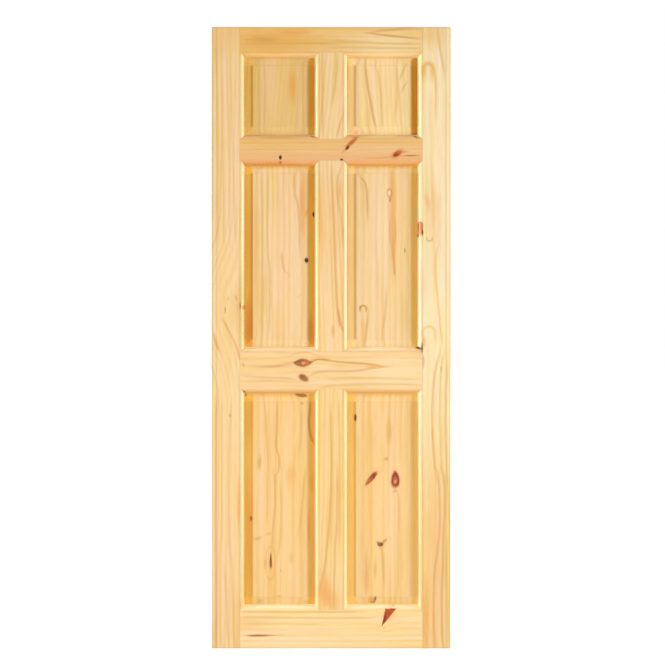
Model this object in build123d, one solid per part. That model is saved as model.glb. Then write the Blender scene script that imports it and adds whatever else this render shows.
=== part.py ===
"""A six-panel pine door leaf, in millimetres, with +Z up.

The frame is two stiles, four rails and three muntins. Each inner edge carries the same ovolo
moulding and panel groove. A rail or muntin is scribed over the moulding that it meets and has a
stub tenon in the groove there. Six raised and fielded panels float in the grooves.

The origin is on the outer edge of the left stile, at the foot of the leaf and in the middle of
its thickness. +X runs across the leaf, and the front face looks along -Y.
"""

import os

from build123d import *

# The leaf
LEAF_WIDTH = 762.0
LEAF_HEIGHT = 1981.0
LEAF_THICKNESS = 35.0
ARRIS_RADIUS = 1.0

# Flat widths of the frame members, between their mouldings
STILE_FACE = 90.0
MUNTIN_FACE = 76.0
TOP_RAIL_FACE = 81.0
FRIEZE_RAIL_FACE = 68.0
LOCK_RAIL_FACE = 118.0
BOTTOM_RAIL_FACE = 124.0

# Heights between the flat faces of the rails; the middle row takes what these leave
TOP_OPENING = 276.5
BOTTOM_OPENING = 704.0

# Ovolo moulding, from the flat face down to the panel groove
QUIRK_DEPTH = 1.0
FILLET_WIDTH = 1.0
OVOLO_RADIUS = 11.0
LEDGE_WIDTH = 3.5
LIP_THICKNESS = 1.5
GROOVE_SETBACK = 1.0  # from the edge of the flat face to the groove's floor

# Panels
FIELD_RECESS = 6.5
SHOULDER_HEIGHT = 1.5
BEVEL_WIDTH = 25.0
EXPANSION_GAP = 3.0
TONGUE_CLEARANCE = 0.2

# Sizes that follow from those above
HALF_THICKNESS = LEAF_THICKNESS / 2
MOULDING_WIDTH = FILLET_WIDTH + OVOLO_RADIUS + LEDGE_WIDTH
GROOVE_WIDTH = LEAF_THICKNESS - 2 * (QUIRK_DEPTH + OVOLO_RADIUS + LIP_THICKNESS)
GROOVE_DEPTH = MOULDING_WIDTH - GROOVE_SETBACK
TENON_RUN_IN = max(0.0, -GROOVE_SETBACK)
TONGUE_LENGTH = GROOVE_DEPTH - EXPANSION_GAP
TONGUE_HALF = GROOVE_WIDTH / 2 - TONGUE_CLEARANCE
FIELD_HALF = HALF_THICKNESS - FIELD_RECESS

LOCK_RAIL_LOW = BOTTOM_RAIL_FACE + BOTTOM_OPENING
LOCK_RAIL_HIGH = LOCK_RAIL_LOW + LOCK_RAIL_FACE
TOP_RAIL_LOW = LEAF_HEIGHT - TOP_RAIL_FACE
FRIEZE_RAIL_HIGH = TOP_RAIL_LOW - TOP_OPENING
FRIEZE_RAIL_LOW = FRIEZE_RAIL_HIGH - FRIEZE_RAIL_FACE
MUNTIN_LEFT = (LEAF_WIDTH - MUNTIN_FACE) / 2
MUNTIN_RIGHT = MUNTIN_LEFT + MUNTIN_FACE

# Openings between flat faces: each row's low and high edge, and each column's left and right edge
ROWS = {
    "bottom": (BOTTOM_RAIL_FACE, LOCK_RAIL_LOW),
    "middle": (LOCK_RAIL_HIGH, FRIEZE_RAIL_LOW),
    "top": (FRIEZE_RAIL_HIGH, TOP_RAIL_LOW),
}
COLUMNS = {
    "left": (STILE_FACE, MUNTIN_LEFT),
    "right": (MUNTIN_RIGHT, LEAF_WIDTH - STILE_FACE),
}


def moulding_waste():
    """What the moulding cutter takes off one arris: u starts at the edge of the flat face."""
    quirk_floor = QUIRK_DEPTH - HALF_THICKNESS
    ovolo_foot = quirk_floor + OVOLO_RADIUS
    ovolo_end = FILLET_WIDTH + OVOLO_RADIUS
    straight = Polyline(
        (FILLET_WIDTH, quirk_floor),
        (0, quirk_floor),
        (0, -HALF_THICKNESS),
        (MOULDING_WIDTH, -HALF_THICKNESS),
        (MOULDING_WIDTH, ovolo_foot),
        (ovolo_end, ovolo_foot),
    )
    ovolo = CenterArc((FILLET_WIDTH, ovolo_foot), OVOLO_RADIUS, start_angle=0, arc_size=-90)
    return make_face(straight + ovolo)


def edge_waste():
    """What is taken off a moulded edge: the waste at both arrises and the panel groove between."""
    front = moulding_waste()
    groove = Pos(MOULDING_WIDTH - GROOVE_DEPTH / 2, 0) * Rectangle(GROOVE_DEPTH, GROOVE_WIDTH)
    return front + mirror(front, about=Plane.XZ) + groove


def member_section(face, moulded_low, moulded_high):
    """Section of a frame member: u runs from the low edge of its flat face, v through the leaf."""
    low = -MOULDING_WIDTH if moulded_low else 0.0
    high = face + MOULDING_WIDTH if moulded_high else face
    section = Pos((low + high) / 2, 0) * Rectangle(high - low, LEAF_THICKNESS)
    if moulded_low:
        section -= mirror(edge_waste(), about=Plane.YZ)
    if moulded_high:
        section -= Pos(face, 0) * edge_waste()
    return section


def make_stile(outer_edge, inward):
    """A stile over the whole height, moulded on its inner edge."""
    plane = Plane(origin=(outer_edge, 0, 0), x_dir=(inward, 0, 0), z_dir=(0, 0, 1))
    return extrude(plane * member_section(STILE_FACE, False, True), amount=LEAF_HEIGHT)


def make_rail(low, high, stiles):
    """A rail between the stiles, scribed over their mouldings; only its inner edges are moulded."""
    start = STILE_FACE - TENON_RUN_IN
    section = member_section(high - low, low > 0, high < LEAF_HEIGHT)
    plane = Plane(origin=(start, 0, low), x_dir=(0, 0, 1), z_dir=(1, 0, 0))
    blank = extrude(plane * section, amount=LEAF_WIDTH - 2 * start)
    return blank - stiles


def make_muntin(low, high, rails):
    """An upright in the middle of one row, scribed over the mouldings of the rails at its ends."""
    start = low - TENON_RUN_IN
    plane = Plane(origin=(MUNTIN_LEFT, 0, start), x_dir=(1, 0, 0), z_dir=(0, 0, 1))
    blank = extrude(
        plane * member_section(MUNTIN_FACE, True, True), amount=high + TENON_RUN_IN - start
    )
    return blank - rails


def raised_section(length):
    """Section of a raised panel along one direction: tongue, bevel and shoulder up to the field."""
    tongue_end = length / 2
    sight_edge = tongue_end - TONGUE_LENGTH
    field_edge = sight_edge - BEVEL_WIDTH
    bevel_top = FIELD_HALF - SHOULDER_HEIGHT
    quarter = [
        (tongue_end, TONGUE_HALF),
        (sight_edge, TONGUE_HALF),
        (field_edge, bevel_top),
        (field_edge, FIELD_HALF),
    ]
    back = quarter + [(-u, v) for u, v in reversed(quarter)]
    front = [(u, -v) for u, v in reversed(back)]
    return make_face(Polyline(*back, *front, close=True))


def make_panel(row, column):
    """A panel raised on all four sides of both faces, with its tongues in the grooves around it."""
    low, high = row
    left, right = column
    beyond_sight = 2 * (TONGUE_LENGTH - MOULDING_WIDTH)
    width = right - left + beyond_sight
    height = high - low + beyond_sight
    centre = Vector((left + right) / 2, 0, (low + high) / 2)
    across = Plane(origin=centre, x_dir=(1, 0, 0), z_dir=(0, 0, 1))
    upright = Plane(origin=centre, x_dir=(0, 0, 1), z_dir=(1, 0, 0))
    raised_across = extrude(across * raised_section(width), amount=height / 2, both=True)
    raised_upright = extrude(upright * raised_section(height), amount=width / 2, both=True)
    return raised_across & raised_upright


def eased_leaf():
    """The whole leaf's block, with the outer edges of both faces eased."""
    block = Pos(LEAF_WIDTH / 2, 0, LEAF_HEIGHT / 2) * Box(LEAF_WIDTH, LEAF_THICKNESS, LEAF_HEIGHT)
    return fillet(block.edges().filter_by(Axis.Y, reverse=True), ARRIS_RADIUS)


def make_leaf():
    """Every piece of the leaf by its name."""
    stiles = {"left_stile": make_stile(0, 1), "right_stile": make_stile(LEAF_WIDTH, -1)}
    heights = {
        "bottom_rail": (0.0, BOTTOM_RAIL_FACE),
        "lock_rail": (LOCK_RAIL_LOW, LOCK_RAIL_HIGH),
        "frieze_rail": (FRIEZE_RAIL_LOW, FRIEZE_RAIL_HIGH),
        "top_rail": (TOP_RAIL_LOW, LEAF_HEIGHT),
    }
    rails = {
        name: make_rail(low, high, list(stiles.values())) for name, (low, high) in heights.items()
    }
    muntins = {
        f"{row}_muntin": make_muntin(low, high, list(rails.values()))
        for row, (low, high) in ROWS.items()
    }
    panels = {
        f"{row}_{side}_panel": make_panel(ROWS[row], COLUMNS[side])
        for row in ROWS
        for side in COLUMNS
    }
    envelope = eased_leaf()
    frame = {name: member & envelope for name, member in {**stiles, **rails}.items()}
    return {**frame, **muntins, **panels}


os.makedirs("parts", exist_ok=True)
for piece_name, piece in make_leaf().items():
    export_step(piece, f"parts/{piece_name}.step")
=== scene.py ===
"""Looks of a six-panel knotty pine door leaf: boards with their own grain, knots and streaks.

Lengths are in metres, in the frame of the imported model. The figure of the wood is laid out in
millimetres on that same frame: x across the leaf, y through it and z up from its foot.
"""

import math
from dataclasses import dataclass, field

import bpy
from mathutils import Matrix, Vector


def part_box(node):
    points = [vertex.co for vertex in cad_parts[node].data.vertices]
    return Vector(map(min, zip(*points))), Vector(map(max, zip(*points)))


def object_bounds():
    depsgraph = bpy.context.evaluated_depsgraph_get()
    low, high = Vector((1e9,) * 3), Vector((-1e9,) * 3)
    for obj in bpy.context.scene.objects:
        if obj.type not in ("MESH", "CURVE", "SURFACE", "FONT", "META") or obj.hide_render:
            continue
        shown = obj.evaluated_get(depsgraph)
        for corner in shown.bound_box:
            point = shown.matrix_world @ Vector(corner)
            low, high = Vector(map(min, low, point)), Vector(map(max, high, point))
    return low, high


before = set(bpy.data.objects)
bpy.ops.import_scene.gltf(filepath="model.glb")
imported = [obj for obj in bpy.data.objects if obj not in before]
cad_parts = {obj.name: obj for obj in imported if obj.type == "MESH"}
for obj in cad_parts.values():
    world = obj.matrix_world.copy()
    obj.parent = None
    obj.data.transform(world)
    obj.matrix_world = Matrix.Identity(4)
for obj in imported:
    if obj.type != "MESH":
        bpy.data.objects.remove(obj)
cad_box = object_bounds()

MM_PER_M = 1000.0
LEAF_LOW, LEAF_HIGH = cad_box
LEAF_CENTRE = (LEAF_LOW + LEAF_HIGH) / 2


# Colours

def srgb(red, green, blue):
    """A colour as it shows on a screen, from 0 to 255, turned into linear light."""
    def linear(value):
        value /= 255.0
        return value / 12.92 if value <= 0.04045 else ((value + 0.055) / 1.055) ** 2.4
    return (linear(red), linear(green), linear(blue), 1.0)


TONES = {
    "cream": srgb(252, 230, 180),
    "blush": srgb(246, 202, 154),
    "pink": srgb(234, 176, 120),
    "honey": srgb(230, 172, 84),
    "olive": srgb(212, 168, 84),
    "amber": srgb(208, 148, 68),
    "orange": srgb(230, 152, 62),
    "rust": srgb(214, 126, 58),
    "sienna": srgb(196, 106, 44),
    "red": srgb(190, 72, 20),
    "crimson": srgb(144, 40, 4),
    "brown": srgb(172, 110, 44),
    "umber": srgb(136, 80, 30),
    "dark": srgb(100, 52, 18),
    "black": srgb(68, 36, 14),
}


# What a board is made of

@dataclass
class Knot:
    """A branch cut through: a rim round a heart, darker towards one end.

    It turns anticlockwise, and a taper narrows its upper end. A lens is pointed at both sides,
    a block has round corners, and a wedge has sharp ones.
    """

    x: float
    z: float
    wide: float
    tall: float
    heart: str = "red"
    rim: str = "dark"
    turn: float = 0.0
    taper: float = 0.0
    shape: str = "oval"
    shear: float = 0.0
    soft: float = 0.25
    dark_end: tuple = (0.0, 0.0)
    rim_wide: float = 0.3
    rim_strength: float = 0.6
    halo: str = "orange"
    halo_strength: float = 0.35
    strength: float = 1.0
    reach: tuple = (2.6, 5.0)
    push: float = 0.75


@dataclass
class Streak:
    """A soft patch of another tone, drawn out along the grain."""

    x: float
    z: float
    wide: float
    tall: float
    tone: str = "honey"
    strength: float = 0.5
    turn: float = 0.0
    taper: float = 0.0
    edge: float = 0.9
    shape: str = "oval"
    shear: float = 0.0


@dataclass
class Arch:
    """A growth line that rises, turns over and comes down again; a negative radius turns it over."""

    x: float
    z: float
    radius: float
    legs: float
    tone: str = "amber"
    strength: float = 0.6
    thick: float = 4.0


@dataclass
class Vein:
    """A strong growth line through a few points: sharp on one side and soft on the other."""

    points: list
    tone: str = "amber"
    strength: float = 0.5
    below: float = 5.0
    above: float = 9.0
    fade: float = 40.0


@dataclass
class Loop:
    """A growth line that closes round something."""

    x: float
    z: float
    wide: float
    tall: float
    tone: str = "amber"
    strength: float = 0.5
    turn: float = 0.0
    taper: float = 0.0
    line: float = 0.12
    shape: str = "oval"
    shear: float = 0.0


@dataclass
class Bend:
    """Grain that swells round a point."""

    x: float
    z: float
    wide: float
    tall: float
    push: float = 0.6
    turn: float = 0.0


@dataclass
class Board:
    """Sawn timber: where the tree's heart ran beside the board, its year rings, tones and figure.

    The painted shade of a panel is how deep it lies on the left bevel, on the right one and at the head,
    and how strong the painted shadow of the step beside the field is.
    """

    upright: bool = True
    heart_across: float = -140.0
    heart_behind: float = 60.0
    lean: float = 0.0
    ring: float = 18.0
    early: tuple = srgb(244, 208, 152)
    late: tuple = srgb(222, 168, 92)
    contrast: float = 0.5
    wave: float = 6.0
    painted_shade: tuple = (0.0, 0.0, 0.0, 0.0)
    figure: list = field(default_factory=list)


BOARDS = {}

# Stiles

BOARDS["left_stile"] = Board(
    heart_across=-260, lean=8, ring=12.5, early=srgb(243, 209, 156), contrast=0.6, figure=[
        Bend(105, 1090, 300, 330, 0.9),
        Streak(40, 260, 160, 620, "honey", 0.15),
        Streak(40, 1975, 90, 120, "honey", 0.4),
        Vein([(19, 1290), (19, 1600), (12, 1930)], "olive", 0.5),
        Vein([(38, 1290), (35, 1600), (28, 1930)], "olive", 0.4),
        Vein([(57, 1290), (54, 1600), (44, 1930)], "olive", 0.3),
        Vein([(76, 1290), (66, 1600), (57, 1930)], "olive", 0.3),
        Knot(101, 1088, 5, 6, "rust", "brown", soft=0.5, strength=0.8),
        Streak(91, 1093, 3, 17, "umber", 0.9),
        Streak(43, 1080, 2.6, 17, "umber", 0.75),
        Streak(78, 1118, 2.6, 14, "brown", 0.7, turn=15),
        Streak(53, 1115, 2.4, 11, "brown", 0.45),
        Vein([(34, 1050), (56, 1008), (76, 966), (89, 922), (102, 901)], "rust", 0.45, fade=15),
        Vein([(6, 1000), (14, 970), (24, 948)], "amber", 0.6, fade=15),
        Streak(59, 743, 5, 9, "brown", 0.6),
        Streak(86, 460, 9, 140, "orange", 0.55),
        Vein([(9, 0), (12, 150), (12, 560), (14, 800)], "amber", 0.45),
        Vein([(33, 0), (25, 250), (31, 400), (31, 790)], "olive", 0.45),
        Vein([(53, 0), (47, 150), (41, 260)], "olive", 0.4),
        Vein([(72, 0), (63, 250), (54, 400), (54, 560), (63, 790)], "olive", 0.4),
    ])

BOARDS["right_stile"] = Board(
    heart_across=260, lean=-10, ring=20, early=srgb(249, 226, 180), contrast=0.3, figure=[
        Streak(715, 260, 160, 720, "honey", 0.6),
        Streak(702, 1965, 70, 80, "honey", 0.5),
        Streak(690, 1790, 14, 60, "cream", 0.6),
        Arch(690, 1850, 14, 60, "honey", 0.8, 13),
        Vein([(740, 1838), (728, 1906), (719, 1976)], "olive", 0.6),
        Vein([(713, 1700), (713, 1797), (704, 1852)], "honey", 0.6),
        Streak(687, 1425, 14, 45, "orange", 0.35, turn=12),
        Streak(665, 1340, 9, 32, "rust", 0.9, edge=0.6),
        Arch(665, 1352, 6, 45, "sienna", 0.9, 5),
        Streak(672, 1326, 4.5, 15, "dark", 0.9),
        Streak(658, 1317, 5, 10, "umber", 0.9),
        Arch(694, 1308, -9, 7, "amber", 0.5, 6),
        Vein([(733, 973), (725, 1053), (717, 1133), (713, 1213), (723, 1285)], "honey", 0.6),
        Arch(693, 1006, 20, 60, "honey", 0.5, 8),
        Streak(677, 975, 10, 30, "orange", 0.6),
        Streak(661, 958, 16, 6, "umber", 1.0, turn=-14, edge=0.6),
        Streak(670.5, 957, 4.5, 24, "umber", 0.9, edge=0.7),
        Vein([(666, 890), (674, 912), (671, 935)], "amber", 0.6, fade=10),
        Vein([(716, 537), (704, 656), (701, 756), (704, 824), (716, 904), (727, 947)], "amber", 0.5),
        Streak(703, 676, 4, 50, "orange", 0.7),
        Vein([(735, 537), (729, 656), (726, 770), (729, 864), (740, 941)], "olive", 0.45),
        Vein([(750, 537), (748, 614), (742, 784), (748, 870), (750, 918)], "olive", 0.35),
        Streak(731, 890, 3, 17, "brown", 0.5),
        Vein([(710, 0), (707, 115), (707, 200), (720, 325), (726, 430), (714, 569)], "amber", 0.55),
        Vein([(737, 0), (732, 155), (735, 245), (739, 400), (742, 440), (732, 569)], "amber", 0.6),
        Vein([(751, 0), (751, 155), (748, 245), (752, 340)], "olive", 0.45),
        Vein([(757, 380), (753, 495), (748, 569)], "olive", 0.4),
        Streak(683, 90, 16, 190, "orange", 0.6),
        Streak(706, 60, 9, 120, "orange", 0.4),
    ])

# Rails

BOARDS["top_rail"] = Board(
    upright=False, heart_across=-160, ring=11, early=srgb(239, 199, 128), figure=[
        Streak(190, 1935, 260, 70, "honey", 0.9),
        Streak(165, 1941, 75, 14, "amber", 0.5),
        Streak(262, 1964, 75, 16, "orange", 0.5),
        Streak(560, 1925, 180, 60, "cream", 0.5),
        Vein([(504, 1960), (542, 1954), (601, 1949), (662, 1940)], "amber", 0.8, below=4),
        Vein([(504, 1962), (560, 1970), (640, 1975)], "amber", 0.6),
        Vein([(377, 1934), (465, 1932), (554, 1928), (660, 1926)], "olive", 0.6),
        Vein([(377, 1918), (495, 1915), (613, 1912), (665, 1912)], "olive", 0.5),
        Vein([(110, 1926), (250, 1928), (377, 1927)], "olive", 0.6),
    ])

BOARDS["frieze_rail"] = Board(
    upright=False, heart_across=160, ring=9, early=srgb(238, 192, 130), contrast=0.8, figure=[
        Streak(381, 1563, 1400, 28, "pink", 0.65),
        # Painted shade on the frieze's lower, downward-facing moulding
        Streak(381, 1545, 1400, 12, "orange", 0.6),
        Streak(190, 1547, 115, 9, "rust", 0.5),
        # Painted shade in the corner of the mouldings
        Streak(106, 1541, 11, 6, "sienna", 0.6, turn=-35),
        Streak(381, 1617, 1400, 20, "honey", 0.25),
        # Painted shade on the left of the upper moulding
        Streak(216, 1628, 115, 6, "amber", 0.5),
        # Painted shade in the corner of the mouldings
        Streak(322, 1632, 13, 4.5, "umber", 0.7, turn=-25),
        # Painted highlight on the right of the upper moulding
        Streak(545, 1635, 110, 7, "cream", 0.6),
        Streak(219, 1563, 15, 7, "cream", 0.6),
        Knot(219, 1565, 4.5, 6.5, "dark", "black", reach=(2, 3)),
        Streak(219, 1549.5, 7, 5, "umber", 0.9),
        Knot(414, 1557, 4.5, 4.5, "dark", "black", reach=(2, 3)),
        Knot(445, 1612, 5, 20, "sienna", "brown", turn=-48, soft=0.6, halo="rust"),
        Knot(432.5, 1596, 4, 8, "dark", "dark", turn=-40, soft=0.5),
        Streak(420, 1583, 3, 15, "rust", 0.6, turn=-52),
        Streak(458, 1630, 17, 3.5, "sienna", 0.8),
        Knot(591, 1577, 14, 7, "sienna", "crimson", turn=33, dark_end=(-1.0, -0.4), halo="rust",
             halo_strength=0.7, soft=0.4, rim_strength=0.3),
        Streak(585, 1571.5, 8, 4.5, "crimson", 0.9, turn=20),
        Streak(612, 1583, 26, 7, "rust", 0.55),
        Streak(635, 1571, 36, 3, "brown", 0.85, edge=0.7),
        Vein([(505, 1563), (545, 1564), (578, 1569)], "amber", 0.7, below=3, above=4),
        # Painted shadow in the corner of the mouldings
        Streak(650, 1631, 15, 6, "umber", 0.8, turn=-30),
    ])

BOARDS["lock_rail"] = Board(
    upright=False, heart_across=170, ring=20, early=srgb(243, 205, 148), contrast=0.4, figure=[
        Streak(101, 905, 3.5, 11, "brown", 0.6, turn=25),
        Streak(600, 880, 170, 80, "cream", 0.35),
        # Painted shade on the lower, downward-facing moulding
        Streak(381, 817, 1400, 15, "honey", 0.75),
        # Painted highlight on the upper, upward-facing moulding, stronger on the right
        Streak(381, 957, 1400, 9, "cream", 0.6),
        Streak(545, 957, 120, 9, "cream", 0.8),
        Streak(248, 912, 26, 8, "pink", 0.6),
        Knot(290, 911, 28, 11, "rust", "umber", shape="lens", halo="pink", rim_wide=0.55,
             dark_end=(-0.9, 0.2)),
        Streak(274, 908, 16, 9, "brown", 0.85),
        Streak(298, 918, 15, 4, "red", 0.7, turn=4),
        Streak(313, 913.5, 14, 4, "umber", 0.8, turn=5),
        Streak(292, 910, 8, 6, "pink", 0.8),
        Vein([(308, 912), (328, 918), (344, 922), (372, 921)], "brown", 0.8, below=3, above=4, fade=14),
        Knot(293, 863, 15.5, 9.5, "brown", "umber", turn=-30, halo="pink", soft=0.4, rim_strength=0.3,
             dark_end=(-0.7, 0.2)),
        Vein([(250, 932), (273, 941), (301, 944), (324, 938), (345, 929)], "amber", 0.5, below=3, above=5),
        Vein([(148, 898), (187, 898), (240, 904)], "amber", 0.65),
        Vein([(310, 914), (335, 921), (355, 920), (405, 913), (490, 907), (548, 898)], "amber", 0.8,
             below=4, above=7),
        Vein([(310, 864), (324, 875), (352, 883), (448, 884), (505, 892), (548, 898)], "amber", 0.55,
             below=5, above=8),
        Streak(350, 898, 60, 12, "cream", 0.4),
        Streak(515, 899, 40, 8, "honey", 0.8),
        Vein([(96, 869), (160, 864), (240, 861), (275, 850)], "olive", 0.5),
        Vein([(96, 848), (215, 851), (270, 845)], "olive", 0.4),
        Vein([(390, 861), (490, 861), (650, 858)], "olive", 0.4),
        Vein([(350, 830), (450, 841), (580, 842), (660, 840)], "olive", 0.5),
        Streak(661, 958, 16, 6, "umber", 1.0, turn=-14, edge=0.6),
        Streak(670.5, 957, 4.5, 24, "umber", 0.9, edge=0.7),
        # Painted shade in the corner of the mouldings
        Streak(103, 818, 9, 7, "dark", 0.75, turn=-40),
    ])

BOARDS["bottom_rail"] = Board(
    upright=False, heart_across=-170, ring=17, early=srgb(250, 214, 156), contrast=0.4, figure=[
        # Painted highlight on the upper, upward-facing moulding
        Streak(381, 135, 1400, 8, "cream", 0.6),
        Streak(566, 108, 30, 34, "orange", 0.4, turn=-30),
        Streak(570, 133, 17, 6, "blush", 0.7),
        Streak(579, 136, 10, 4, "brown", 0.5, turn=-25),
        Knot(556.4, 99.3, 8.6, 28, "red", "crimson", taper=-0.97, shear=14.4, shape="wedge",
             soft=0.12, rim_wide=0.2, rim_strength=0.3, halo_strength=0.0, dark_end=(-0.9, -0.3),
             push=0.45),
        Streak(551, 66, 7, 2.6, "amber", 0.6, turn=25),
        Streak(535, 70, 20, 4, "honey", 0.5, turn=30),
        Streak(152, 42, 56, 4.6, "brown", 0.95, edge=0.55),
        Streak(190, 43, 44, 2.6, "amber", 0.8),
        Vein([(96, 101), (250, 98), (400, 97), (514, 98)], "olive", 0.45),
        Vein([(96, 118), (250, 116), (470, 117)], "olive", 0.5),
        Vein([(96, 76), (200, 78), (360, 74)], "olive", 0.35),
    ])

# Muntins

BOARDS["top_muntin"] = Board(heart_across=160, lean=90, ring=13, figure=[
    Vein([(383, 1738), (395, 1826), (398, 1894)], "olive", 0.6),
    Vein([(353, 1640), (352, 1760), (353, 1890)], "amber", 0.45),
    Vein([(399, 1635), (407, 1665), (416, 1700)], "rust", 0.5),
])

BOARDS["middle_muntin"] = Board(heart_across=-160, lean=-30, ring=13, figure=[
    Streak(408, 1460, 9, 60, "orange", 0.5),
    Vein([(417, 1290), (411, 1377), (399, 1470), (405, 1515), (414, 1538)], "olive", 0.6),
    Vein([(417, 1013), (401, 1073), (395, 1173), (389, 1333), (383, 1453), (381, 1533)], "amber", 0.55),
    Vein([(418, 1016), (408, 1045), (404, 1080)], "sienna", 0.45, fade=12),
    Streak(387, 1012, 9, 30, "amber", 0.5),
    Streak(350, 1350, 12, 180, "honey", 0.3),
])

BOARDS["bottom_muntin"] = Board(heart_across=160, lean=20, ring=13, early=srgb(243, 205, 138), figure=[
    Streak(360, 185, 34, 75, "orange", 0.65),
    Streak(385, 150, 40, 45, "orange", 0.45),
    Vein([(347, 200), (365, 310), (377, 458), (380, 569), (378, 760)], "amber", 0.6),
    Vein([(405, 330), (407, 500), (404, 780)], "olive", 0.55),
    Vein([(388, 140), (392, 310), (400, 450), (399, 569)], "amber", 0.5),
])

# Panels

# The four numbers at the end of each panel give the painted shade on its left, right and head bevels and
# the strength of the painted shadow of its step
BOARDS["top_left_panel"] = Board(
    heart_behind=25, heart_across=90, lean=70, ring=13, early=srgb(232, 193, 124),
    painted_shade=(0.31, 0.66, 0.0, 0.9), figure=[
        Streak(256, 1790, 26, 85, "honey", 0.6),
        Streak(258, 1795, 16, 70, "orange", 0.5),
        Vein([(148, 1640), (149, 1760), (147, 1870)], "olive", 0.55),
        Vein([(166, 1640), (168, 1760), (166, 1870)], "olive", 0.45),
        Vein([(292, 1650), (290, 1760), (290, 1875)], "olive", 0.6),
    ])

BOARDS["top_right_panel"] = Board(
    heart_behind=25, heart_across=-90, lean=-60, ring=14, early=srgb(251, 218, 158),
    painted_shade=(0.13, 1.25, 0.0, 0.9), figure=[
        Vein([(524, 1652), (518, 1679), (507, 1738), (495, 1803), (489, 1865)], "amber", 0.7),
        Vein([(540, 1660), (536, 1780), (521, 1860)], "olive", 0.45),
        Vein([(583, 1700), (589, 1797), (583, 1860)], "olive", 0.45),
        Vein([(601, 1815), (612, 1850), (619, 1862)], "olive", 0.6, fade=12),
        Vein([(607, 1775), (614, 1795), (622, 1805)], "brown", 0.4, below=3, above=5, fade=10),
        Streak(458, 1648, 15, 11, "rust", 0.45),
        # Painted shadow in the bottom right corner
        Streak(648, 1641, 14, 9, "brown", 0.6),
    ])

BOARDS["middle_left_panel"] = Board(
    heart_behind=25, heart_across=120, ring=17, early=srgb(244, 208, 152),
    painted_shade=(0.62, 0.68, 0.25, 0.8), figure=[
        Streak(142, 1300, 16, 290, "honey", 0.5),
        Streak(225, 1250, 40, 320, "blush", 0.4),
        Streak(290, 1420, 17, 165, "orange", 0.6),
        Streak(303, 1390, 8, 22, "orange", 0.6, turn=-20),
        Streak(118, 1270, 18, 300, "amber", 0.3),
        Streak(118, 1050, 18, 100, "rust", 0.6),
        Streak(118, 990, 18, 60, "rust", 0.5),
        Streak(315, 1010, 16, 90, "rust", 0.5),
        Knot(327, 1385, 5.5, 7.5, "dark", "black", halo="rust"),
        Knot(302, 1238, 5.5, 7, "dark", "black", halo="brown"),
        Vein([(276, 1120), (290, 1129), (304, 1130)], "amber", 0.5, below=3, above=4, fade=8),
        Vein([(160, 990), (161, 1250), (158, 1510)], "olive", 0.55),
        Vein([(178, 1000), (184, 1180), (176, 1300), (178, 1510)], "olive", 0.5),
        Vein([(280, 1260), (276, 1400), (262, 1480), (270, 1520)], "amber", 0.45),
        Vein([(244, 1193), (228, 1213), (222, 1260)], "amber", 0.45, fade=15),
    ])

BOARDS["middle_right_panel"] = Board(
    heart_behind=25, heart_across=-120, ring=19, early=srgb(244, 209, 154),
    painted_shade=(0.15, 0.43, 0.25, 0.8), figure=[
        Streak(545, 1330, 22, 280, "cream", 0.35),
        Streak(511, 1390, 17, 170, "blush", 0.5),
        Streak(608, 1470, 21, 80, "blush", 0.5),
        Streak(577, 1365, 16, 230, "orange", 0.6),
        Streak(574, 1485, 10, 80, "orange", 0.5),
        Streak(580, 1270, 10, 120, "orange", 0.4),
        Loop(567, 1452, 7.5, 13, "brown", 0.4, line=0.4),
        Vein([(570, 1290), (567, 1330), (568, 1360)], "amber", 0.5, below=3, above=4, fade=15),
        Vein([(587, 1290), (586, 1330), (585, 1360)], "amber", 0.45, below=3, above=4, fade=15),
        Vein([(584, 1190), (580, 1240), (575, 1290)], "amber", 0.5),
        Streak(583, 1200, 3, 15, "brown", 0.5),
        Streak(562.5, 1463, 2.4, 6, "brown", 0.6, turn=-20),
        Streak(573.5, 1452, 2.4, 8, "brown", 0.6),
        Streak(568.5, 1432, 2.8, 11, "umber", 0.85),
        Streak(567, 1453, 5, 8, "cream", 1.0, edge=0.7),
        Streak(616, 1269, 2.8, 15, "dark", 0.9),
        Vein([(496, 1375), (495, 1434), (489, 1481), (480, 1496), (468, 1511)], "amber", 0.65),
        Arch(483, 1083, 10, 16, "amber", 0.9, 6.5),
        Streak(474, 1088, 5, 6, "brown", 0.5),
        Vein([(484, 965), (492, 1010), (497, 1070)], "amber", 0.6),
        Streak(484, 1005, 15, 60, "honey", 0.6),
        Vein([(541, 985), (545, 1020), (553, 1075), (556, 1140)], "olive", 0.5),
        Streak(615, 1060, 20, 120, "honey", 0.3),
    ])

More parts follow.
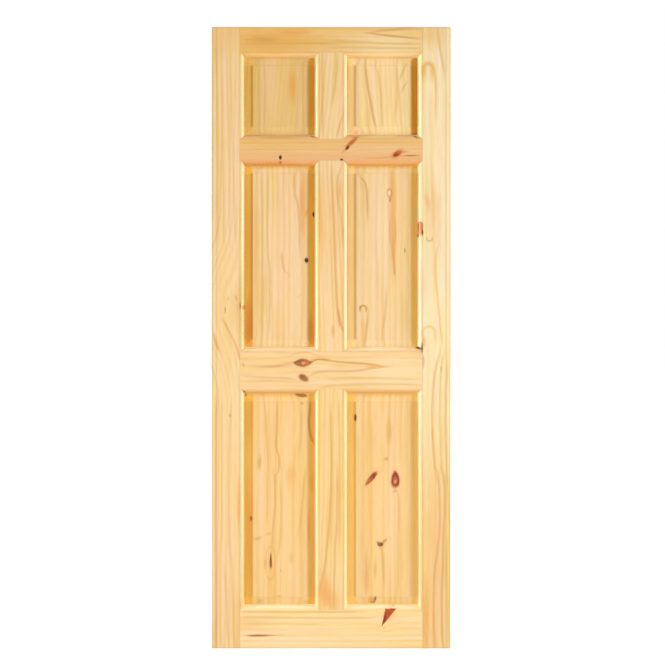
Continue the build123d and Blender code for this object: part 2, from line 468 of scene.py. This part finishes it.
BOARDS["bottom_left_panel"] = Board(
    heart_behind=25, heart_across=100, ring=18, early=srgb(244, 201, 134),
    painted_shade=(0.46, 0.4, 0.12, 0.2), figure=[
        Streak(118, 720, 18, 110, "olive", 0.4),
        Streak(118, 380, 18, 280, "rust", 0.35),
        # Painted shade in the top left corner
        Streak(107, 808, 7, 8, "umber", 0.8),
        Knot(285, 808, 17, 5.5, "brown", "umber", turn=-10, soft=0.4, strength=0.9),
        Streak(288, 781, 8, 7, "brown", 0.5),
        Vein([(326, 654), (314, 680), (309, 719), (311, 748), (314, 785)], "sienna", 0.7, below=5,
             above=9, fade=15),
        Vein([(179, 557), (173, 699), (166, 800)], "olive", 0.55),
        Vein([(205, 557), (214, 600), (205, 642), (207, 699), (208, 790)], "amber", 0.65),
        Vein([(276, 620), (284, 727), (276, 760)], "olive", 0.4),
        Streak(152, 592, 11, 36, "olive", 0.9),
        Streak(252, 550, 24, 55, "orange", 0.4),
        Streak(318, 530, 11, 40, "orange", 0.4),
        Streak(309, 380, 9, 90, "rust", 0.4),
        Vein([(175, 400), (177, 495), (175, 560)], "olive", 0.55),
        Vein([(192, 310), (194, 377), (201, 495), (196, 560)], "amber", 0.6),
        Vein([(207, 292), (220, 421), (218, 530)], "olive", 0.55),
        Vein([(277, 366), (288, 458), (296, 560)], "amber", 0.45),
        Knot(125, 414, 4, 7, "brown", "umber", soft=0.4, strength=0.8),
        Streak(147, 350, 24, 9, "olive", 0.75, turn=18),
        Streak(182, 365, 15, 7, "olive", 0.65, turn=10),
        Knot(188, 282, 3, 24, "umber", "umber", taper=0.6, rim_wide=0.2, soft=0.4, halo_strength=0.5),
        Streak(171, 270, 8, 26, "amber", 0.5),
        Loop(186, 272, 16, 52, "amber", 0.3, line=0.16),
        Streak(220, 248, 2.6, 10, "brown", 0.4),
        Streak(253, 288, 12, 30, "olive", 0.5),
        Streak(153, 150, 15, 11, "olive", 0.6),
        Streak(303, 148, 15, 9, "olive", 0.5),
        Streak(215, 166, 11, 6, "amber", 0.4),
    ])

BOARDS["bottom_right_panel"] = Board(
    heart_behind=25, heart_across=-100, ring=19, early=srgb(244, 203, 137),
    painted_shade=(0.3, 0.17, 0.12, 0.6), figure=[
        Knot(458, 736, 3.6, 10, "umber", "dark", soft=0.4),
        Streak(540, 705, 22, 80, "blush", 0.5),
        Streak(565, 692, 15, 60, "olive", 0.75),
        Streak(554, 604, 10, 9, "brown", 0.4),
        Streak(559.5, 604, 2.8, 12, "brown", 0.6),
        Knot(508, 541, 7, 25, "sienna", "crimson", turn=-40, taper=-0.25, dark_end=(0, 1), soft=0.3,
             rim_strength=0.5),
        Streak(516, 551, 5, 11, "crimson", 0.8, turn=-35),
        Knot(585.5, 539, 10.5, 21, "rust", "crimson", taper=0.2, dark_end=(0, 0.8), rim_wide=0.6,
             rim_strength=1.0),
        Streak(585.5, 532, 4.5, 8, "pink", 0.95),
        Streak(584, 501, 9, 7, "amber", 0.6),
        Vein([(595, 370), (595, 473), (582, 508)], "amber", 0.45),
        Streak(530, 337, 5, 8, "umber", 0.9, turn=35),
        Streak(551, 342, 6, 17, "brown", 0.8, turn=-48),
        Knot(538, 331, 8.5, 6, "dark", "umber", soft=0.45),
        Streak(537, 318, 9, 6, "amber", 0.6),
        Vein([(547, 200), (543, 303), (535, 325)], "amber", 0.55),
        Streak(493, 235, 12, 100, "rust", 0.5),
        Streak(521, 250, 7, 50, "rust", 0.35),
        Streak(508, 156, 17, 15, "orange", 0.7),
        Streak(512, 147, 15, 5.5, "brown", 0.85),
        Streak(521, 156, 6, 16, "umber", 0.9, turn=-14),
        Vein([(592, 170), (593, 300), (591, 370)], "olive", 0.45),
    ])


# Node trees

class Graph:
    """Adds nodes to a node tree. An input that is a socket is linked, and any other value is set."""

    def __init__(self, tree):
        self.tree = tree

    def node(self, kind, inputs=None, **settings):
        made = self.tree.nodes.new(kind)
        for name, value in settings.items():
            setattr(made, name, value)
        for key, value in (inputs or {}).items():
            if isinstance(value, bpy.types.NodeSocket):
                self.tree.links.new(value, made.inputs[key])
            else:
                made.inputs[key].default_value = value
        return made

    def math(self, operation, *values, clamp=False):
        inputs = dict(enumerate(values))
        return self.node("ShaderNodeMath", inputs, operation=operation, use_clamp=clamp).outputs[0]

    def product(self, first, *others):
        for other in others:
            first = self.math("MULTIPLY", first, other)
        return first

    def total(self, first, *others):
        for other in others:
            first = self.math("ADD", first, other)
        return first

    def vector(self, operation, *values, scale=None):
        inputs = dict(enumerate(values))
        if scale is not None:
            inputs["Scale"] = scale
        made = self.node("ShaderNodeVectorMath", inputs, operation=operation)
        return made.outputs["Value" if operation in ("LENGTH", "DOT_PRODUCT") else "Vector"]

    def combine(self, x, y, z):
        return self.node("ShaderNodeCombineXYZ", {0: x, 1: y, 2: z}).outputs[0]

    def separate(self, vector):
        return self.node("ShaderNodeSeparateXYZ", {0: vector}).outputs

    def ramp(self, value, start, end, low=0.0, high=1.0):
        """Smoothly from low at start to high at end, and flat outside."""
        inputs = {"Value": value, "From Min": start, "From Max": end, "To Min": low, "To Max": high}
        return self.node("ShaderNodeMapRange", inputs, interpolation_type="SMOOTHSTEP").outputs[0]

    def noise(self, place, sizes, detail=2.0):
        """Noise from 0 to 1 with patches of the given sizes in millimetres."""
        scaled = self.vector("MULTIPLY", place, tuple(1.0 / size for size in sizes))
        inputs = {"Vector": scaled, "Scale": 1.0, "Detail": detail}
        return self.node("ShaderNodeTexNoise", inputs).outputs[0]

    def waver(self, place, sizes, amount):
        """Noise that strays from 0 by up to about the amount either way."""
        centred = self.math("SUBTRACT", self.noise(place, sizes), 0.5)
        return self.math("MULTIPLY", centred, 2.0 * amount)

    def mix(self, factor, first, second, blend="MIX"):
        inputs = {0: factor, 6: first, 7: second}
        made = self.node("ShaderNodeMix", inputs, data_type="RGBA", blend_type=blend)
        return made.outputs[2]

    def local(self, face, mark, wide, tall):
        """A mark's own place: (0, 0) at its middle and 1 at the ends of its half sizes."""
        inputs = {
            "Vector": face,
            "Location": (mark.x, mark.z, 0.0),
            "Rotation": (0.0, 0.0, math.radians(mark.turn)),
            "Scale": (wide, tall, 1.0),
        }
        return self.node("ShaderNodeMapping", inputs, vector_type="TEXTURE").outputs[0]

    def slanted(self, place, mark):
        """A mark's own place with its shear and taper taken out."""
        u, v, _ = self.separate(place)
        if mark.shear:
            u = self.math("MULTIPLY_ADD", v, -mark.shear / mark.wide, u)
        if mark.taper:
            width = self.math("MULTIPLY_ADD", v, -mark.taper, 1.0)
            u = self.math("DIVIDE", u, self.math("MAXIMUM", width, NARROWEST))
        return u, v

    def distance(self, face, mark, ragged):
        """How far out of a mark a point is: 0 at the middle, 1 at the edge."""
        u, v = self.slanted(self.local(face, mark, mark.wide, mark.tall), mark)
        if mark.shape == "lens":
            out = self.total(self.math("ABSOLUTE", v), self.product(u, u))
        elif mark.shape == "wedge":
            out = self.math("MAXIMUM", self.math("ABSOLUTE", u), self.math("ABSOLUTE", v))
        elif mark.shape == "block":
            square = self.combine(self.product(u, u), self.product(v, v), 0.0)
            out = self.math("SQRT", self.vector("LENGTH", square))
        else:
            out = self.vector("LENGTH", self.combine(u, v, 0.0))
        return self.total(out, ragged)

    def course(self, along, points):
        """The place across the grain of a smooth line through points of (along, across)."""
        start, end = points[0][0], points[-1][0]
        low = min(across for _, across in points)
        span = max(across for _, across in points) - low + 1.0
        inputs = {"Value": along, "From Min": start, "From Max": end}
        part = self.node("ShaderNodeMapRange", inputs).outputs[0]
        made = self.node("ShaderNodeFloatCurve", {"Value": part})
        curve = made.mapping.curves[0]
        places = [((place - start) / (end - start), (across - low) / span) for place, across in points]
        curve.points[0].location = places[0]
        curve.points[1].location = places[-1]
        for place in places[1:-1]:
            curve.points.new(*place)
        made.mapping.update()
        return self.math("MULTIPLY_ADD", made.outputs[0], span, low)


NARROWEST = 0.03

# Grain: sizes of noise are across, through and along the log, in millimetres
SWAY_SIZES = (70, 70, 420)
WAVER_SIZES = (16, 16, 120)
WAVER = 1.4
UNEVEN_SIZES = (30, 700, 1)
UNEVEN = 0.45
CLEAR_SIZES = (45, 45, 260)
CLEAR_LEAST = 0.5
VIGOUR_LEAST = 0.2
HAIRS_PER_YEAR = 4.0
HAIR_STRENGTH = 0.12
FIBRE_SIZES = (0.9, 0.9, 45)
FIBRE_RANGE = (0.93, 1.05)
PATCH_SIZES = (60, 60, 400)
PATCH_HONEY = 0.4
PATCH_BLUSH = 0.35
BAND_SIZES = (20, 20, 420)
BAND_YELLOW = (0.985, 0.98, 0.82, 1.0)
BAND_PINK = (1.01, 1.01, 1.13, 1.0)

# Edges of marks
RAGGED_SIZES = (6, 6, 40)
RAGGED = 0.25
RIPPLE_SIZES = (5, 5, 7)
RIPPLE = 0.16
STRAY_SIZES = (12, 12, 60)
STRAY = 1.6
LOOP_SHARE = 0.4
LEAST_REACH = 4.0

# Knots
HALO_OUT = 2.2
HALO_IN = 0.9
KNOT_RINGS = 16.0
KNOT_RING_STRENGTH = 0.3
RIM_PLACE = 0.95

# Panels: painted shade on the bevels at the sides and head of a field, painted light on some bevels, and a
# painted shadow of the step beside the field
FIELD_INSET = 36.5
TONGUE_LENGTH = 11.5
# Painted shade on the side bevels: shares of red, green and blue kept, and a painted light gain for each
# side
LEFT_PAINTED_SHADE = (0.86, 0.55, 0.06)
LEFT_PAINTED_LIGHT = 1.15
RIGHT_PAINTED_SHADE = (0.7, 0.42, 0.03)
RIGHT_PAINTED_LIGHT = 1.0
RIGHT_FADE = 9.0
# Painted light on the bevels above and below a field
HEAD_PAINTED_LIGHT = (1.1, 1.11, 1.08, 1.0)
FOOT_PAINTED_LIGHT = (1.05, 1.06, 1.04, 1.0)
MITRE_HIGH = -22.0
MITRE_LOW = -6.0
# Painted shadow of the step at the left of a field
STEP_PAINTED_SHADOW = (0.72, 0.66, 0.5, 1.0)
STEP_SETBACK = 3.0
STEP_WIDE = 6.0
STEP_CORE = 1.5
STEP_END = 6.0
HEAD_FADE = 13.0

# Frame: painted shade in the quirks beside the mouldings, end grain, joints and painted shade at the outer
# edges
MOULDING_WIDTH = 15.5
QUIRK_PAINTED_SHADE = (0.88, 0.87, 0.78, 1.0)
QUIRK_WIDE = 4.0
QUIRK_CORE = 1.0
END_GRAIN = 0.55
SEAM_WIDE = 1.2
SEAM_CORE = 0.2
SEAM_STRENGTH = 0.3
# Painted shade along the outer edges of the leaf
ARRIS_PAINTED_SHADE = (0.84, 0.8, 0.68, 1.0)
ARRIS_WIDE = 7.0
ARRIS_CORE = 1.0

# Surface
ROUGHNESS = 0.46
SMOOTHER_LINES = -0.08
WORN_SHEEN = 0.06
SPECULAR = 0.32
BUMP_STRENGTH = 0.25
BUMP_DEPTH = 0.0002
LINE_RELIEF = 0.6
FIBRE_RELIEF = 0.4


def painted_shade_tint(depth, shares, painted_light):
    """Painted shade: the share of each colour kept, to the power of the depth, times a painted light gain.
    """
    return (*(painted_light * share ** depth for share in shares), 1.0)


class Timber:
    """The material of one board, from the year rings of its log to its surface."""

    def __init__(self, name, board):
        self.name = name
        self.board = board
        self.material = bpy.data.materials.new(f"{name}_pine")
        self.material.use_nodes = True
        self.material.node_tree.nodes.clear()
        self.graph = Graph(self.material.node_tree)
        self.low, self.high = (corner * MM_PER_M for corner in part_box(name))
        self.lay_out()
        self.grow_rings()
        self.tone_ground()
        for mark in board.figure:
            if type(mark) in self.DRAWN:
                self.DRAWN[type(mark)](self, mark)
        if name.endswith("panel"):
            self.paint_bevel_light_and_shade()
        else:
            self.cut_ends()
            self.paint_arris_shade()
            if board.upright:
                self.paint_quirk_shade()
            if not name.endswith("stile"):
                self.joint_seams()
        self.surface()

    def lay_out(self):
        """Places on the board: on its face, and across and along its log."""
        graph = self.graph
        place = graph.node("ShaderNodeTexCoord").outputs["Object"]
        self.x, self.y, self.z = graph.separate(graph.vector("SCALE", place, scale=MM_PER_M))
        self.face = graph.combine(self.x, self.z, 0.0)
        if self.board.upright:
            self.across, self.along = self.x, self.z
        else:
            self.across, self.along = self.z, self.x
        self.log = graph.combine(self.across, self.y, self.along)
        self.ragged = graph.waver(self.log, RAGGED_SIZES, RAGGED)
        self.ripple = graph.waver(self.log, RIPPLE_SIZES, RIPPLE)
        self.stray = graph.waver(self.log, STRAY_SIZES, STRAY)

    def shift(self, mark, wide, tall):
        """How far the grain is pushed aside round a knot or bend."""
        graph = self.graph
        local = graph.local(self.face, Bend(mark.x, mark.z, wide, tall), wide, tall)
        swell = graph.ramp(graph.vector("LENGTH", local), 1.0, 0.0, 0.0, mark.push)
        u, v, _ = graph.separate(local)
        offset, size = (u, wide) if self.board.upright else (v, tall)
        return graph.product(offset, swell, -size)

    def deflected(self):
        """The place across the grain, pushed aside by every knot and bend of the board."""
        across = self.across
        for mark in self.board.figure:
            if isinstance(mark, Bend):
                across = self.graph.total(across, self.shift(mark, mark.wide, mark.tall))
            elif isinstance(mark, Knot):
                reach_x, reach_z = mark.reach if self.board.upright else reversed(mark.reach)
                wide = max(mark.wide, LEAST_REACH) * reach_x
                tall = max(mark.tall, LEAST_REACH) * reach_z
                across = self.graph.total(across, self.shift(mark, wide, tall))
        return across

    def from_heart(self):
        """The distance from the heart of the tree."""
        graph, board = self.graph, self.board
        middle = (self.low + self.high) / 2
        mid_across, mid_along = (middle.x, middle.z) if board.upright else (middle.z, middle.x)
        lean = board.lean / MM_PER_M
        drift = graph.math("MULTIPLY_ADD", self.along, -lean, lean * mid_along)
        sway = graph.waver(self.log, SWAY_SIZES, board.wave)
        aside = graph.math("SUBTRACT", self.deflected(), mid_across + board.heart_across)
        behind = graph.math("SUBTRACT", self.y, board.heart_behind)
        return graph.vector("LENGTH", graph.combine(graph.total(aside, drift, sway), behind, 0.0))

    def grow_rings(self):
        """Year rings: an autumn line for each year, stronger in some years, and hair lines between."""
        graph, board = self.graph, self.board
        radius = self.from_heart()
        waver = graph.waver(self.log, WAVER_SIZES, WAVER)
        uneven = graph.waver(graph.combine(radius, self.along, 0.0), UNEVEN_SIZES, UNEVEN * board.ring)
        year = graph.math("DIVIDE", graph.total(radius, waver, uneven), board.ring)
        season = graph.math("FRACT", year)
        count = graph.math("FLOOR", year)
        chance = graph.node("ShaderNodeTexWhiteNoise", {"W": count}, noise_dimensions="1D").outputs[0]
        vigour = graph.math("MULTIPLY_ADD", chance, 1.0 - VIGOUR_LEAST, VIGOUR_LEAST)
        clear = graph.ramp(graph.noise(self.log, CLEAR_SIZES), 0.32, 0.62, CLEAR_LEAST, 1.0)
        autumn = graph.product(graph.ramp(season, 0.1, 0.75), graph.ramp(season, 1.0, 0.7))
        month = graph.math("FRACT", graph.math("MULTIPLY", year, HAIRS_PER_YEAR))
        hair = graph.product(graph.ramp(month, 0.3, 0.9, 0.0, HAIR_STRENGTH), graph.ramp(month, 1.0, 0.92))
        self.line = graph.math("ADD", graph.product(autumn, vigour, clear), hair, clamp=True)

    def tone_ground(self):
        """The wood between the knots: its rings, patches, yellower and pinker bands, and fibres."""
        graph, board = self.graph, self.board
        self.colour = graph.mix(graph.math("MULTIPLY", self.line, board.contrast), board.early, board.late)
        patch = graph.noise(self.log, PATCH_SIZES, detail=3.0)
        self.paint(graph.ramp(patch, 0.5, 0.8, 0.0, PATCH_HONEY), "honey")
        self.paint(graph.ramp(patch, 0.5, 0.25, 0.0, PATCH_BLUSH), "blush")
        band = graph.ramp(graph.noise(self.log, BAND_SIZES), 0.3, 0.7)
        self.colour = graph.mix(1.0, self.colour, graph.mix(band, BAND_YELLOW, BAND_PINK), "MULTIPLY")
        self.worn = graph.ramp(patch, 0.3, 0.7)
        self.fibre = graph.noise(self.log, FIBRE_SIZES, detail=1.0)
        fleck = graph.ramp(self.fibre, 0.2, 0.8, *FIBRE_RANGE)
        self.colour = graph.mix(1.0, self.colour, graph.combine(fleck, fleck, fleck), "MULTIPLY")

    def paint(self, inside, tone):
        self.colour = self.graph.mix(inside, self.colour, TONES[tone])

    def tint(self, inside, shares):
        tinted = self.graph.mix(1.0, self.colour, shares, "MULTIPLY")
        self.colour = self.graph.mix(inside, self.colour, tinted)

    def draw_vein(self, mark):
        graph = self.graph
        points = sorted((z, x) if self.board.upright else (x, z) for x, z in mark.points)
        off = graph.math("SUBTRACT", graph.total(self.across, self.stray), graph.course(self.along, points))
        start, end = points[0][0], points[-1][0]
        self.paint(graph.product(
            graph.ramp(off, -mark.below, 0.0, 0.0, mark.strength),
            graph.ramp(off, mark.above, 0.0),
            graph.ramp(self.along, start - mark.fade, start + mark.fade),
            graph.ramp(self.along, end + mark.fade, end - mark.fade),
        ), mark.tone)

    def draw_streak(self, mark):
        out = self.graph.distance(self.face, mark, self.ragged)
        self.paint(self.graph.ramp(out, 1.0, 1.0 - mark.edge, 0.0, mark.strength), mark.tone)

    def draw_loop(self, mark):
        graph = self.graph
        out = graph.distance(self.face, mark, graph.math("MULTIPLY", self.ragged, LOOP_SHARE))
        off = graph.math("ABSOLUTE", graph.math("SUBTRACT", out, 1.0))
        self.paint(graph.ramp(off, mark.line, 0.0, 0.0, mark.strength), mark.tone)

    def draw_arch(self, mark):
        graph = self.graph
        upward = math.copysign(1.0, mark.radius)
        rise = graph.math("MULTIPLY", graph.math("SUBTRACT", self.z, mark.z), upward)
        aside = graph.math("SUBTRACT", graph.total(self.x, self.stray), mark.x)
        out = graph.vector("LENGTH", graph.combine(aside, graph.math("MAXIMUM", rise, 0.0), 0.0))
        off = graph.math("ABSOLUTE", graph.math("SUBTRACT", out, abs(mark.radius)))
        line = graph.ramp(off, mark.thick, 0.0, 0.0, mark.strength)
        self.paint(graph.product(line, graph.ramp(rise, -mark.legs, 0.0)), mark.tone)

    def draw_knot(self, mark):
        graph = self.graph
        out = graph.distance(self.face, mark, self.ripple)
        self.paint(graph.ramp(out, HALO_OUT, HALO_IN, 0.0, mark.halo_strength * mark.strength), mark.halo)
        rings = graph.math("SINE", graph.math("MULTIPLY", out, KNOT_RINGS))
        ringed = graph.ramp(rings, -1.0, 1.0, 0.0, KNOT_RING_STRENGTH)
        heart = graph.mix(ringed, TONES[mark.heart], TONES[mark.rim])
        if any(mark.dark_end):
            local = graph.local(self.face, mark, mark.wide, mark.tall)
            towards = graph.vector("DOT_PRODUCT", local, (*mark.dark_end, 0.0))
            heart = graph.mix(graph.ramp(towards, -0.6, 0.8), heart, TONES[mark.rim])
        body = graph.ramp(out, 1.0 + mark.soft, 1.0 - mark.soft, 0.0, mark.strength)
        self.colour = graph.mix(body, self.colour, heart)
        off = graph.math("ABSOLUTE", graph.math("SUBTRACT", out, RIM_PLACE))
        self.paint(graph.ramp(off, mark.rim_wide, 0.0, 0.0, mark.rim_strength * mark.strength), mark.rim)

    DRAWN = {Vein: draw_vein, Streak: draw_streak, Loop: draw_loop, Arch: draw_arch, Knot: draw_knot}

    def cut_ends(self):
        """End grain is darker."""
        graph = self.graph
        normal = graph.separate(graph.node("ShaderNodeNewGeometry").outputs["True Normal"])
        endwise = graph.math("ABSOLUTE", normal[2] if self.board.upright else normal[0])
        self.paint(graph.ramp(endwise, 0.6, 0.95, 0.0, END_GRAIN), "amber")

    def paint_bevel_light_and_shade(self):
        """Painted shade on the bevels beside a field and under its head, painted light on those above and
        below it, and the painted shadow of the step at its left.
        """
        graph = self.graph
        left, right = self.low.x + FIELD_INSET, self.high.x - FIELD_INSET
        foot, head = self.low.z + FIELD_INSET, self.high.z - FIELD_INSET
        left_shade, right_shade, head_shade, step_shadow = self.board.painted_shade
        to_head = graph.math("SUBTRACT", self.high.z, self.z)
        from_left = graph.math("SUBTRACT", self.x, self.low.x)
        to_right = graph.math("SUBTRACT", self.high.x, self.x)

        def below_mitre(from_side):
            return graph.ramp(graph.math("SUBTRACT", to_head, from_side), MITRE_HIGH, MITRE_LOW)

        # Painted light on the head and foot bevels
        self.tint(graph.ramp(self.z, head - STEP_CORE, head + STEP_CORE), HEAD_PAINTED_LIGHT)
        self.tint(graph.ramp(self.z, foot + STEP_CORE, foot - STEP_CORE), FOOT_PAINTED_LIGHT)
        # Painted shade on the side bevels, with painted light on the left ones
        self.tint(
            graph.product(graph.ramp(self.x, left + STEP_CORE, left - STEP_CORE), below_mitre(from_left)),
            painted_shade_tint(left_shade, LEFT_PAINTED_SHADE, LEFT_PAINTED_LIGHT))
        self.tint(
            graph.product(graph.ramp(self.x, right, right + RIGHT_FADE), below_mitre(to_right)),
            painted_shade_tint(right_shade, RIGHT_PAINTED_SHADE, RIGHT_PAINTED_LIGHT))
        # Painted shade on the panel just under the head rail
        self.tint(
            graph.ramp(to_head, TONGUE_LENGTH + HEAD_FADE, TONGUE_LENGTH),
            painted_shade_tint(head_shade, RIGHT_PAINTED_SHADE, 1.0))
        # Painted shadow of the step at the field's left edge
        off_step = graph.math("ABSOLUTE", graph.math("SUBTRACT", self.x, left - STEP_SETBACK))
        self.tint(graph.product(
            graph.ramp(off_step, STEP_WIDE, STEP_CORE, 0.0, step_shadow),
            graph.ramp(self.z, foot - STEP_END, foot + STEP_END),
            graph.ramp(self.z, head + STEP_END, head - STEP_END),
        ), STEP_PAINTED_SHADOW)

    def paint_quirk_shade(self):
        """Painted shade in the quirk beside each upright moulding."""
        graph = self.graph
        edges = []
        if self.low.x > LEAF_LOW.x * MM_PER_M:
            edges.append(self.low.x + MOULDING_WIDTH)
        if self.high.x < LEAF_HIGH.x * MM_PER_M:
            edges.append(self.high.x - MOULDING_WIDTH)
        for edge in edges:
            off = graph.math("ABSOLUTE", graph.math("SUBTRACT", self.x, edge))
            self.tint(graph.ramp(off, QUIRK_WIDE, QUIRK_CORE), QUIRK_PAINTED_SHADE)

    def joint_seams(self):
        """Fine dark lines where a rail or muntin meets the member that it is scribed to."""
        graph = self.graph
        near, far = (self.low.z, self.high.z) if self.board.upright else (self.low.x, self.high.x)
        to_near = graph.math("SUBTRACT", self.along, near)
        to_far = graph.math("SUBTRACT", far, self.along)
        seam = graph.ramp(graph.math("MINIMUM", to_near, to_far), SEAM_WIDE, SEAM_CORE, 0.0, SEAM_STRENGTH)
        self.paint(seam, "brown")

    def paint_arris_shade(self):
        """Painted shade along the outer edges of the leaf."""
        graph = self.graph
        low, high = LEAF_LOW * MM_PER_M, LEAF_HIGH * MM_PER_M

        def inward(place, near, far):
            to_near = graph.math("SUBTRACT", place, near)
            return graph.math("MINIMUM", to_near, graph.math("SUBTRACT", far, place))

        outline = graph.math("MINIMUM", inward(self.x, low.x, high.x), inward(self.z, low.z, high.z))
        off = graph.vector("LENGTH", graph.combine(outline, inward(self.y, low.y, high.y), 0.0))
        self.tint(graph.ramp(off, ARRIS_WIDE, ARRIS_CORE), ARRIS_PAINTED_SHADE)

    def surface(self):
        """A satin varnish over lines and fibres that stand a little proud."""
        graph = self.graph
        matt = graph.math("MULTIPLY_ADD", self.worn, WORN_SHEEN, ROUGHNESS)
        roughness = graph.math("MULTIPLY_ADD", self.line, SMOOTHER_LINES, matt)
        fibres = graph.math("MULTIPLY", self.fibre, FIBRE_RELIEF)
        relief = graph.math("MULTIPLY_ADD", self.line, LINE_RELIEF, fibres)
        inputs = {"Strength": BUMP_STRENGTH, "Distance": BUMP_DEPTH, "Height": relief}
        bump = graph.node("ShaderNodeBump", inputs)
        shader = graph.node("ShaderNodeBsdfPrincipled", {
            "Base Color": self.colour,
            "Roughness": roughness,
            "Specular IOR Level": SPECULAR,
            "Normal": bump.outputs[0],
        })
        graph.node("ShaderNodeOutputMaterial", {0: shader.outputs[0]})


for node_name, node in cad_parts.items():
    node.data.materials.clear()
    node.data.materials.append(Timber(node_name, BOARDS[node_name]).material)


# Floor, lights and camera

FLOOR_SIZE = 60.0
FLOOR_DROP = 0.0005
FLOOR_COLOUR = (0.9, 0.9, 0.9, 1.0)
FLOOR_ROUGHNESS = 0.9
FLOOR_GLOW = 0.9
WHITE = (1.0, 1.0, 1.0, 1.0)


def floor_material():
    material = bpy.data.materials.new("floor_white")
    material.use_nodes = True
    shader = material.node_tree.nodes["Principled BSDF"]
    shader.inputs["Base Color"].default_value = FLOOR_COLOUR
    shader.inputs["Roughness"].default_value = FLOOR_ROUGHNESS
    shader.inputs["Emission Color"].default_value = WHITE
    shader.inputs["Emission Strength"].default_value = FLOOR_GLOW
    return material


def make_floor():
    half = FLOOR_SIZE / 2
    corners = [(-half, -half, 0), (half, -half, 0), (half, half, 0), (-half, half, 0)]
    mesh = bpy.data.meshes.new("floor")
    mesh.from_pydata(corners, [], [(0, 1, 2, 3)])
    mesh.materials.append(floor_material())
    floor = bpy.data.objects.new("floor", mesh)
    floor.location = (LEAF_CENTRE.x, 0.0, LEAF_LOW.z - FLOOR_DROP)
    floor.visible_diffuse = False
    floor.visible_glossy = False
    bpy.context.scene.collection.objects.link(floor)


def make_light(name, azimuth, distance, height, size, power):
    """An area light aimed at the leaf: azimuth 0 is straight in front and 90 is on its right."""
    light = bpy.data.lights.new(name, "AREA")
    light.shape = "RECTANGLE"
    light.size, light.size_y = size
    light.energy = power
    lamp = bpy.data.objects.new(name, light)
    turn = math.radians(azimuth)
    lamp.location = (LEAF_CENTRE.x + distance * math.sin(turn), -distance * math.cos(turn), height)
    lamp.rotation_euler = (LEAF_CENTRE - lamp.location).to_track_quat("-Z", "Y").to_euler()
    lamp.visible_camera = False
    bpy.context.scene.collection.objects.link(lamp)


def make_world(strength):
    """Even light from all round, with a white background behind it."""
    world = bpy.data.worlds.new("studio")
    world.use_nodes = True
    graph = Graph(world.node_tree)
    world.node_tree.nodes.clear()
    path = graph.node("ShaderNodeLightPath").outputs["Is Camera Ray"]
    level = graph.ramp(path, 0.0, 1.0, strength, 1.0)
    white = graph.node("ShaderNodeBackground", {"Color": WHITE, "Strength": level})
    graph.node("ShaderNodeOutputWorld", {0: white.outputs[0]})
    bpy.context.scene.world = world


CAMERA_DISTANCE = 4.0
VIEW_WIDTH = 2.1187
VIEW_RIGHT = 0.0041
VIEW_RISE = 0.017
SENSOR_WIDTH = 36.0
FARTHEST = 100.0


def make_camera():
    lens = bpy.data.cameras.new("camera")
    lens.sensor_width = SENSOR_WIDTH
    lens.lens = SENSOR_WIDTH * CAMERA_DISTANCE / VIEW_WIDTH
    lens.clip_end = FARTHEST
    camera = bpy.data.objects.new("camera", lens)
    camera.location = (
        LEAF_CENTRE.x + VIEW_RIGHT,
        LEAF_LOW.y - CAMERA_DISTANCE,
        LEAF_CENTRE.z + VIEW_RISE,
    )
    camera.rotation_euler = (math.radians(90.0), 0.0, 0.0)
    bpy.context.scene.collection.objects.link(camera)
    bpy.context.scene.camera = camera


KEY_DISTANCE = 5.0
KEY_HEIGHT = 2.0
KEY_SIZE = (0.7, 1.8)
LOW_HEIGHT = 0.35
LOW_SIZE = (0.7, 0.9)
BACK_SIZE = (2.6, 1.2)

make_floor()
make_world(0.68)
for side, turned in (("right", 1.0), ("left", -1.0)):
    make_light(f"{side}_key", turned * 84.0, KEY_DISTANCE, KEY_HEIGHT, KEY_SIZE, 175.0)
    make_light(f"{side}_low_key", turned * 84.0, KEY_DISTANCE, LOW_HEIGHT, LOW_SIZE, 115.0)
    make_light(f"{side}_back", turned * 111.0, KEY_DISTANCE, KEY_HEIGHT, BACK_SIZE, 130.0)
make_light("low_fill", 0.0, 2.0, 0.2, (1.4, 0.6), 13.0)
make_camera()
bpy.context.scene.view_settings.view_transform = "Standard"
